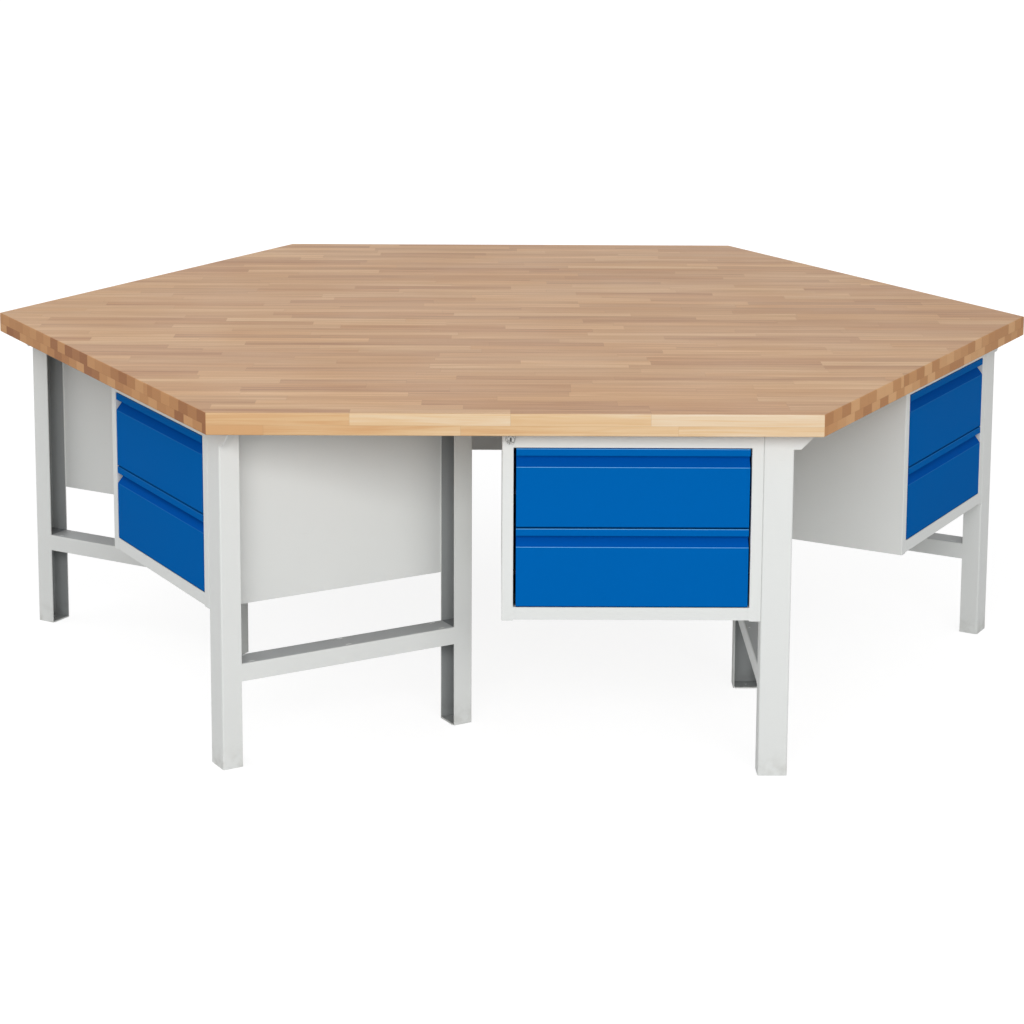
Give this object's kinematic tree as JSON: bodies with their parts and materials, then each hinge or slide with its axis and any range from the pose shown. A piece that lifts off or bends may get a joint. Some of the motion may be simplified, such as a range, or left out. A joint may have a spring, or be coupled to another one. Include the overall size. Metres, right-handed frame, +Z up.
{
  "type": "workbench",
  "caption": "Hexagonal group workbench: thick laminated beech top on folded-steel foot frames, a lockable drawer cabinet hung under the top on every side.",
  "frame": {"origin": "on the floor under the middle of the hexagonal top", "axes": "+X along the front side, from corner to corner of the top; +Y from the front side to the back side; +Z up"},
  "size_m": [2.679, 2.321, 0.84],
  "materials": {
    "beech": "oiled glued beech staves, fine straight grain",
    "grey_paint": "light grey powder coat, satin",
    "blue_paint": "blue powder coat, satin",
    "bright_steel": "zinc-plated sheet, dull bright",
    "lock_metal": "nickel-plated, slightly worn"
  },
  "bodies": {
    "bench": {"worktop": "beech", "top_rails": "grey_paint", "foot_plates": "grey_paint", "runners": "bright_steel", "worktop_screws": "bright_steel", "outer_leg_1": "grey_paint", "inner_leg_1": "grey_paint", "lower_rail_1": "grey_paint", "casing_1": "grey_paint", "outer_leg_2": "grey_paint", "inner_leg_2": "grey_paint", "lower_rail_2": "grey_paint", "casing_2": "grey_paint", "outer_leg_3": "grey_paint", "inner_leg_3": "grey_paint", "lower_rail_3": "grey_paint", "casing_3": "grey_paint", "outer_leg_4": "grey_paint", "inner_leg_4": "grey_paint", "lower_rail_4": "grey_paint", "casing_4": "grey_paint", "outer_leg_5": "grey_paint", "inner_leg_5": "grey_paint", "lower_rail_5": "grey_paint", "casing_5": "grey_paint", "outer_leg_6": "grey_paint", "inner_leg_6": "grey_paint", "lower_rail_6": "grey_paint", "casing_6": "grey_paint"},
    "drawer_lower_1": {"drawer_front_lower_1": "blue_paint", "drawer_box_lower_1": "bright_steel"},
    "drawer_upper_1": {"drawer_front_upper_1": "blue_paint", "drawer_box_upper_1": "bright_steel"},
    "lock_1": {"lock_1": "lock_metal"},
    "drawer_lower_2": {"drawer_front_lower_2": "blue_paint", "drawer_box_lower_2": "bright_steel"},
    "drawer_upper_2": {"drawer_front_upper_2": "blue_paint", "drawer_box_upper_2": "bright_steel"},
    "lock_2": {"lock_2": "lock_metal"},
    "drawer_lower_3": {"drawer_front_lower_3": "blue_paint", "drawer_box_lower_3": "bright_steel"},
    "drawer_upper_3": {"drawer_front_upper_3": "blue_paint", "drawer_box_upper_3": "bright_steel"},
    "lock_3": {"lock_3": "lock_metal"},
    "drawer_lower_4": {"drawer_front_lower_4": "blue_paint", "drawer_box_lower_4": "bright_steel"},
    "drawer_upper_4": {"drawer_front_upper_4": "blue_paint", "drawer_box_upper_4": "bright_steel"},
    "lock_4": {"lock_4": "lock_metal"},
    "drawer_lower_5": {"drawer_front_lower_5": "blue_paint", "drawer_box_lower_5": "bright_steel"},
    "drawer_upper_5": {"drawer_front_upper_5": "blue_paint", "drawer_box_upper_5": "bright_steel"},
    "lock_5": {"lock_5": "lock_metal"},
    "drawer_lower_6": {"drawer_front_lower_6": "blue_paint", "drawer_box_lower_6": "bright_steel"},
    "drawer_upper_6": {"drawer_front_upper_6": "blue_paint", "drawer_box_upper_6": "bright_steel"},
    "lock_6": {"lock_6": "lock_metal"}
  },
  "joints": [
    {"name": "drawer_lower_1_slide", "type": "slide", "parent": "bench", "child": "drawer_lower_1", "axis": [0, -1, 0], "range_m": [0, 0.45]},
    {"name": "drawer_upper_1_slide", "type": "slide", "parent": "bench", "child": "drawer_upper_1", "axis": [0, -1, 0], "range_m": [0, 0.45]},
    {"name": "lock_1_turn", "type": "hinge", "parent": "bench", "child": "lock_1", "pos_m": [-0.0095, -1.10447, 0.77], "axis": [0, 1, 0], "range_deg": [0, 90]},
    {"name": "drawer_lower_2_slide", "type": "slide", "parent": "bench", "child": "drawer_lower_2", "axis": [0.866, -0.5, 0], "range_m": [0, 0.45]},
    {"name": "drawer_upper_2_slide", "type": "slide", "parent": "bench", "child": "drawer_upper_2", "axis": [0.866, -0.5, 0], "range_m": [0, 0.45]},
    {"name": "lock_2_turn", "type": "hinge", "parent": "bench", "child": "lock_2", "pos_m": [0.95175, -0.56046, 0.77], "axis": [-0.866, 0.5, 0], "range_deg": [0, 90]},
    {"name": "drawer_lower_3_slide", "type": "slide", "parent": "bench", "child": "drawer_lower_3", "axis": [0.866, 0.5, 0], "range_m": [0, 0.45]},
    {"name": "drawer_upper_3_slide", "type": "slide", "parent": "bench", "child": "drawer_upper_3", "axis": [0.866, 0.5, 0], "range_m": [0, 0.45]},
    {"name": "lock_3_turn", "type": "hinge", "parent": "bench", "child": "lock_3", "pos_m": [0.96125, 0.54401, 0.77], "axis": [-0.866, -0.5, 0], "range_deg": [0, 90]},
    {"name": "drawer_lower_4_slide", "type": "slide", "parent": "bench", "child": "drawer_lower_4", "axis": [0, 1, 0], "range_m": [0, 0.45]},
    {"name": "drawer_upper_4_slide", "type": "slide", "parent": "bench", "child": "drawer_upper_4", "axis": [0, 1, 0], "range_m": [0, 0.45]},
    {"name": "lock_4_turn", "type": "hinge", "parent": "bench", "child": "lock_4", "pos_m": [0.0095, 1.10447, 0.77], "axis": [0, -1, 0], "range_deg": [0, 90]},
    {"name": "drawer_lower_5_slide", "type": "slide", "parent": "bench", "child": "drawer_lower_5", "axis": [-0.866, 0.5, 0], "range_m": [0, 0.45]},
    {"name": "drawer_upper_5_slide", "type": "slide", "parent": "bench", "child": "drawer_upper_5", "axis": [-0.866, 0.5, 0], "range_m": [0, 0.45]},
    {"name": "lock_5_turn", "type": "hinge", "parent": "bench", "child": "lock_5", "pos_m": [-0.95175, 0.56046, 0.77], "axis": [0.866, -0.5, 0], "range_deg": [0, 90]},
    {"name": "drawer_lower_6_slide", "type": "slide", "parent": "bench", "child": "drawer_lower_6", "axis": [-0.866, -0.5, 0], "range_m": [0, 0.45]},
    {"name": "drawer_upper_6_slide", "type": "slide", "parent": "bench", "child": "drawer_upper_6", "axis": [-0.866, -0.5, 0], "range_m": [0, 0.45]},
    {"name": "lock_6_turn", "type": "hinge", "parent": "bench", "child": "lock_6", "pos_m": [-0.96125, -0.54401, 0.77], "axis": [0.866, 0.5, 0], "range_deg": [0, 90]}
  ]
}
